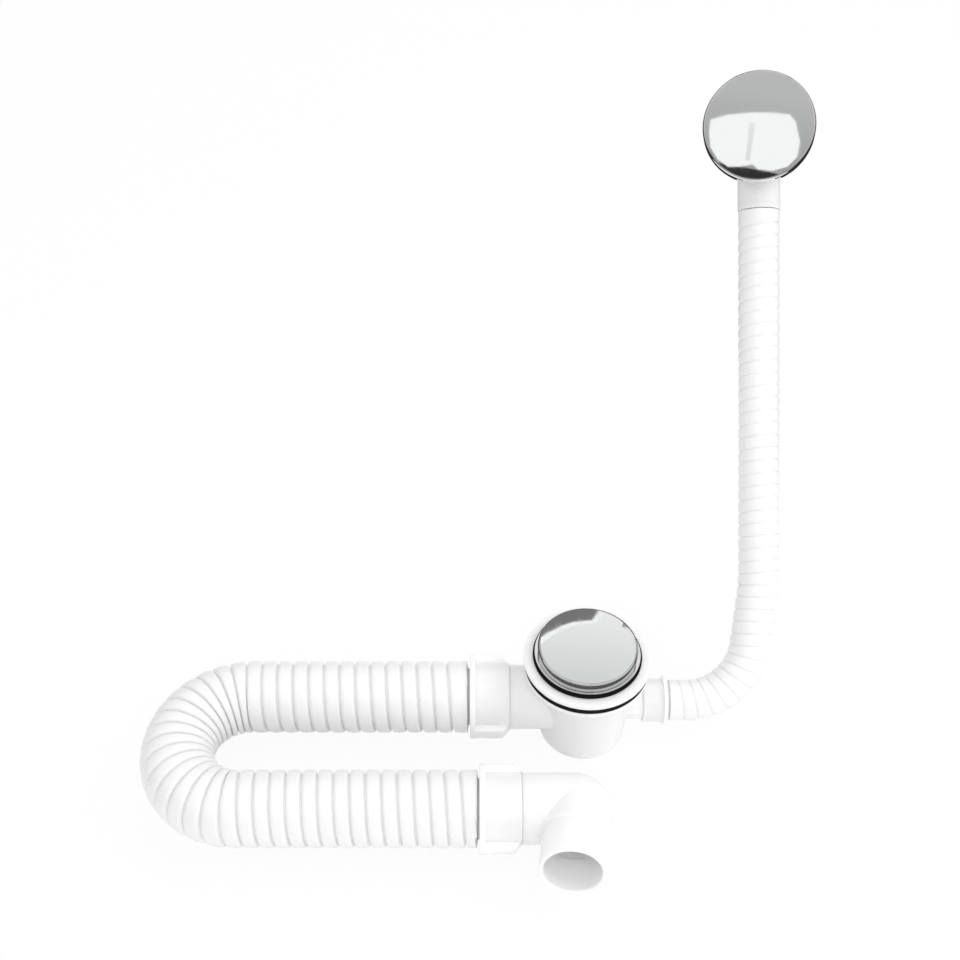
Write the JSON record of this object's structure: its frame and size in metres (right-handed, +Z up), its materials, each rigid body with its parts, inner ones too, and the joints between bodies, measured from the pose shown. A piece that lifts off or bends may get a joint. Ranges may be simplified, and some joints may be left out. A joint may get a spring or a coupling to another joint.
{
  "type": "bath waste and overflow",
  "caption": "Bath waste with a push-open plug, a bent corrugated trap hose ending in an outlet elbow, and a slim corrugated overflow hose with a round cover plate.",
  "frame": {"origin": "centre of the waste hole on the plane where the underside of the bath meets the clamp ring", "axes": "+Z up along the waste, trap hose towards -X, overflow hose towards +X, outlet elbow opening towards -Y"},
  "size_m": [0.4657, 0.442, 0.3789],
  "materials": {
    "chrome": "polished",
    "white_moulding": "smooth moulded",
    "white_hose": "satin, slightly translucent",
    "black_rubber": "matt",
    "brass": "turned",
    "stainless": "drawn"
  },
  "bodies": {
    "waste": {"click_sleeve": "brass", "sleeve_plug": "white_moulding", "click_spring": "stainless", "waste_flange": "chrome", "flange_seal": "black_rubber", "clamp_ring": "white_moulding", "body_seal": "black_rubber", "waste_body": "white_moulding", "outlet_nut": "white_moulding", "outlet_seal": "black_rubber", "trap_hose": "white_hose", "elbow_nut": "white_moulding", "elbow_seal": "black_rubber", "outlet_elbow": "white_moulding", "inlet_nut": "white_moulding", "inlet_seal": "black_rubber", "overflow_hose": "white_hose", "head_seal": "black_rubber", "overflow_head": "white_moulding", "overflow_gasket": "black_rubber", "overflow_insert": "white_moulding", "overflow_screw": "stainless", "overflow_plate": "chrome"},
    "plug": {"plug_cap": "chrome", "plug_carrier": "white_moulding", "plug_seal": "black_rubber", "plunger": "brass"},
    "index": {"index_ring": "white_moulding"}
  },
  "joints": [
    {"name": "plug_lift", "type": "slide", "parent": "waste", "child": "plug", "axis": [0, 0, 1], "range_m": [0, 0.008], "deforming": ["click_spring"]},
    {"name": "index_turn", "type": "hinge", "parent": "plug", "child": "index", "pos_m": [0, 0, -0.022], "axis": [0, 0, 1], "continuous": true}
  ]
}
